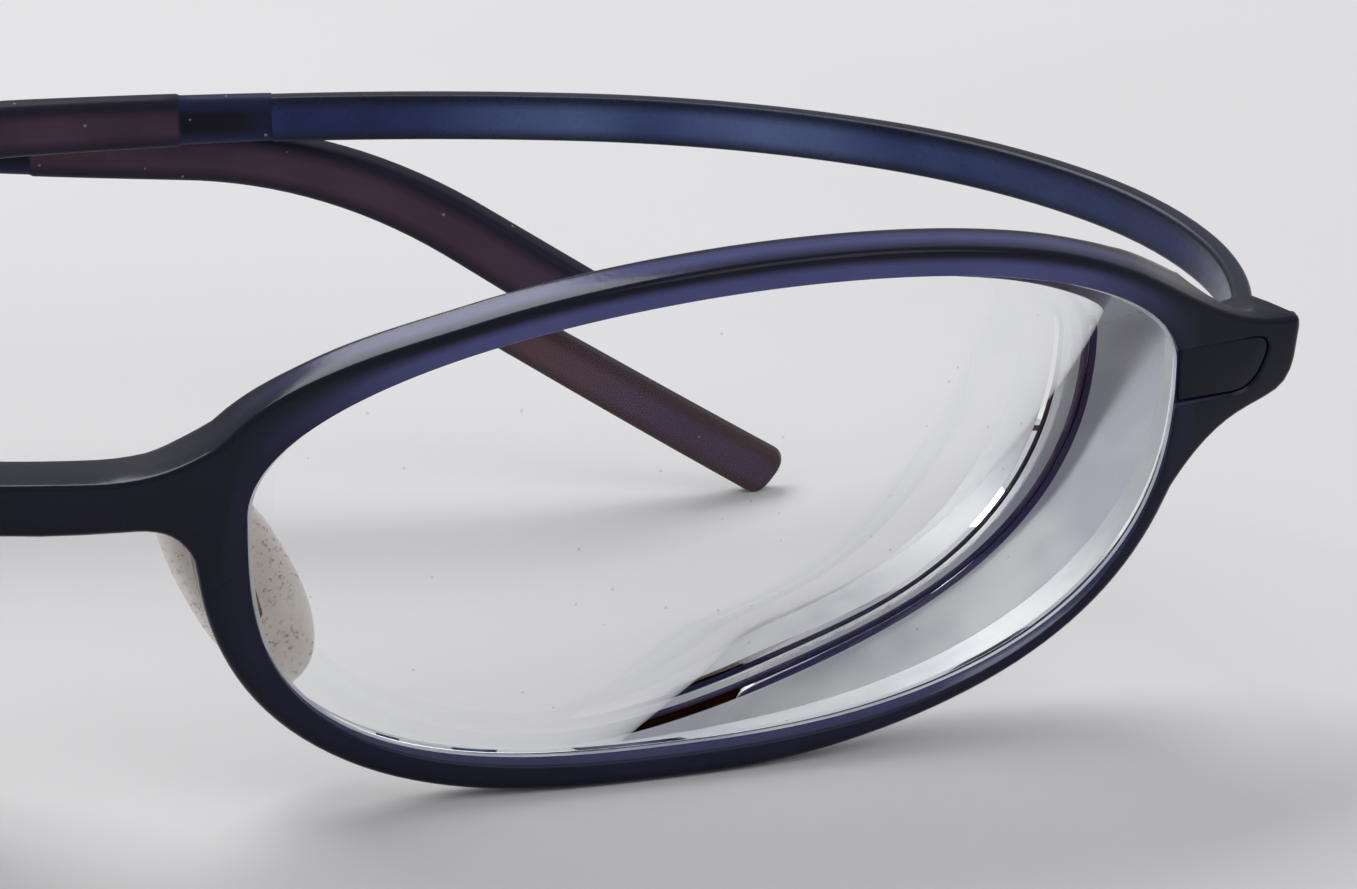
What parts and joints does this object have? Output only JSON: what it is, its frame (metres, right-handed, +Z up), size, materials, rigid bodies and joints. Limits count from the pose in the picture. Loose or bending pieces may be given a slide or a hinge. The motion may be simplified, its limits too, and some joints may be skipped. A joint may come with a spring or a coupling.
{
  "type": "hingeless eyeglasses",
  "caption": "Hingeless eyeglasses: one-piece oval front with minus lenses, elastic temples that curl inwards and cross, soft tips and soft nose pads.",
  "frame": {"origin": "on the table, midway between the two lenses and midway between the front of the lenses' rims and the back of the crossed temples", "axes": "+X towards the wearer's left, +Y backwards from the front towards the temples, +Z up from the table the glasses lie on"},
  "size_m": [0.1402, 0.0638, 0.0328],
  "materials": {
    "front_plastic": "polished dark navy, slightly see-through nylon",
    "temple_plastic": "satin deep blue elastic nylon",
    "tip_rubber": "matte purple-black soft rubber",
    "pad_silicone": "translucent beige soft silicone, slightly dusty",
    "lens_plastic": "clear coated high-index lens plastic"
  },
  "bodies": {
    "front": {"front_frame": "front_plastic", "lens_left": "lens_plastic", "lens_right": "lens_plastic", "nose_pad_left": "pad_silicone", "nose_pad_right": "pad_silicone"},
    "left_temple": {"temple_left": "temple_plastic", "temple_tip_left": "tip_rubber"},
    "right_temple": {"temple_right": "temple_plastic", "temple_tip_right": "tip_rubber"}
  },
  "joints": [
    {"name": "left_temple_spread", "type": "hinge", "parent": "front", "child": "left_temple", "pos_m": [0.0673, -0.004, 0.0218], "axis": [0, 0, -1], "range_deg": [0, 80], "stiffness_Nm_per_rad": 0.06, "deforming": ["temple_left", "temple_tip_left"]},
    {"name": "right_temple_spread", "type": "hinge", "parent": "front", "child": "right_temple", "pos_m": [-0.0673, -0.004, 0.0218], "axis": [0, 0, 1], "range_deg": [0, 80], "stiffness_Nm_per_rad": 0.06, "deforming": ["temple_right", "temple_tip_right"]}
  ],
  "couplings": [
    {"joint": "right_temple_spread", "follows": "left_temple_spread", "ratio": 1}
  ]
}
